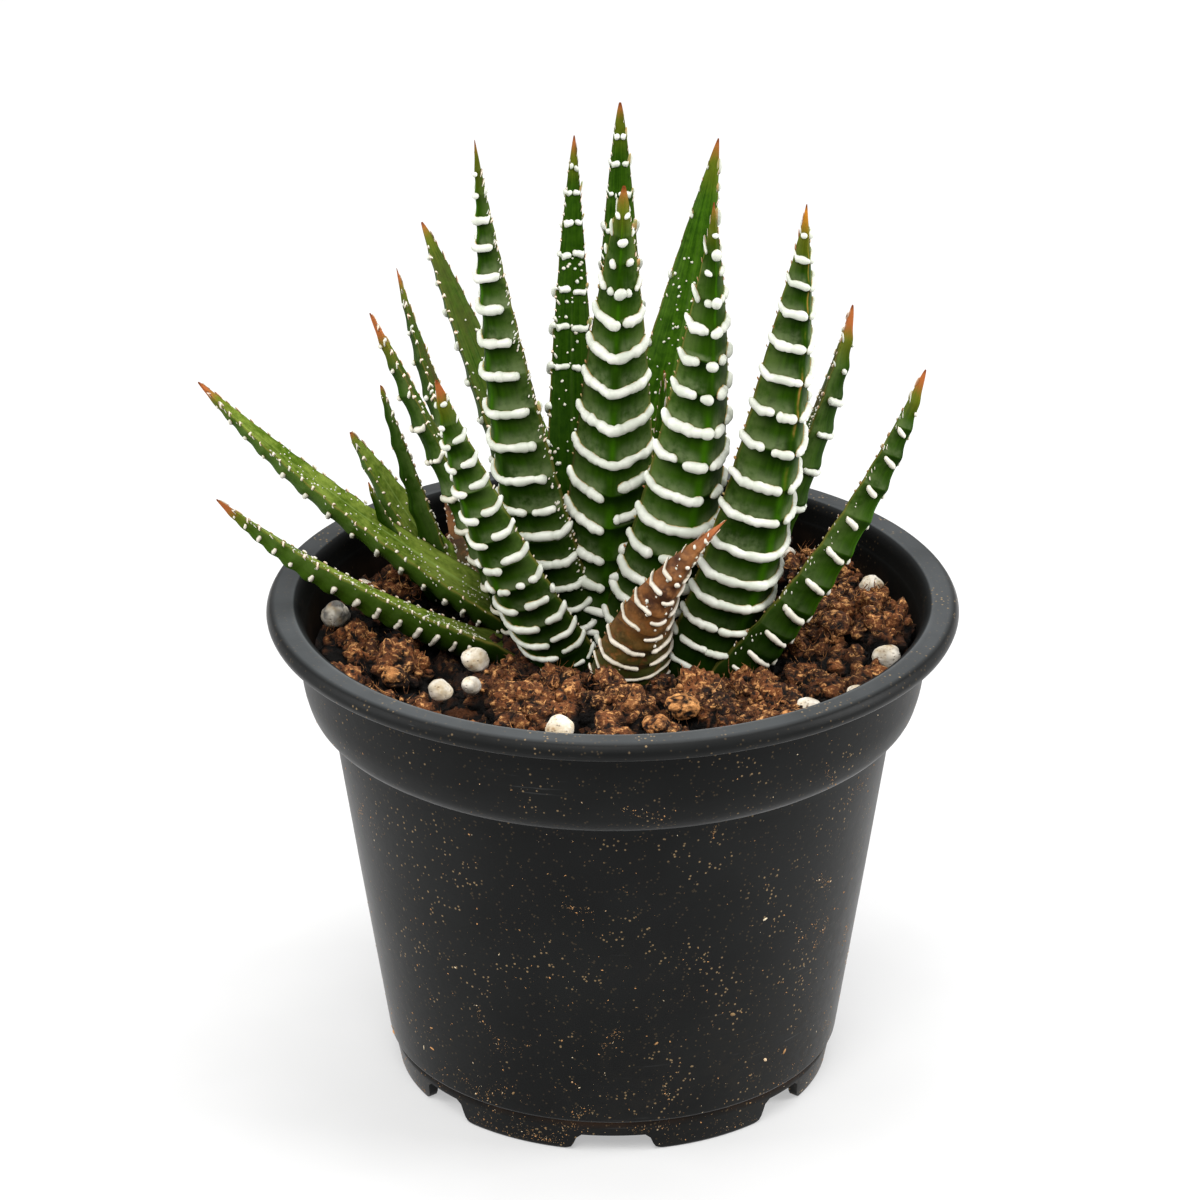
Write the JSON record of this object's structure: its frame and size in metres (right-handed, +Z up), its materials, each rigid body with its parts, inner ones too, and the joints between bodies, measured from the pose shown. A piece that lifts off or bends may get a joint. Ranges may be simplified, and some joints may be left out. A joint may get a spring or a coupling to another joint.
{
  "type": "potted haworthia",
  "caption": "Zebra-striped succulent rosette of stiff pointed leaves with raised white bands, in a round tapered plastic nursery pot filled with coarse soil.",
  "frame": {"origin": "middle of the whole plant's box in plan, on the surface that the pot stands on", "axes": "+Z up along the pot's axis, -Y towards the viewer of the picture, +X to the viewer's right"},
  "size_m": [0.1168, 0.1088, 0.1555],
  "materials": {
    "pot_plastic": "satin charcoal plastic with soil specks and fine scratches",
    "stem": "pale green, matt",
    "leaf": "firm waxy green skin with raised white bands and rust-coloured tips",
    "withered_leaf": "rusty brown, drying, with pale tubercles",
    "perlite": "rough chalky white",
    "soil": "coarse reddish-brown peat and coir lumps"
  },
  "bodies": {
    "root": {"pot": "pot_plastic", "stem": "stem", "offset_stem": "stem", "leaf_01": "leaf", "leaf_02": "leaf", "leaf_03": "leaf", "leaf_04": "leaf", "leaf_05": "leaf", "leaf_06": "leaf", "leaf_07": "leaf", "leaf_08": "leaf", "leaf_09": "leaf", "leaf_10": "leaf", "leaf_11": "leaf", "leaf_12": "leaf", "leaf_13": "leaf", "leaf_14": "leaf", "leaf_15": "leaf", "leaf_16": "leaf", "leaf_17": "leaf", "leaf_18": "leaf", "leaf_19": "withered_leaf", "leaf_20": "leaf", "leaf_21": "leaf", "leaf_22": "leaf", "leaf_23": "leaf", "leaf_24": "leaf", "leaf_25": "leaf", "leaf_26": "leaf", "leaf_27": "leaf", "leaf_28": "withered_leaf", "perlite_01": "perlite", "perlite_02": "perlite", "perlite_03": "perlite", "perlite_04": "perlite", "perlite_05": "perlite", "perlite_06": "perlite", "perlite_07": "perlite", "perlite_08": "perlite", "perlite_09": "perlite", "perlite_10": "perlite", "perlite_11": "perlite", "perlite_12": "perlite", "soil": "soil"}
  },
  "joints": []
}
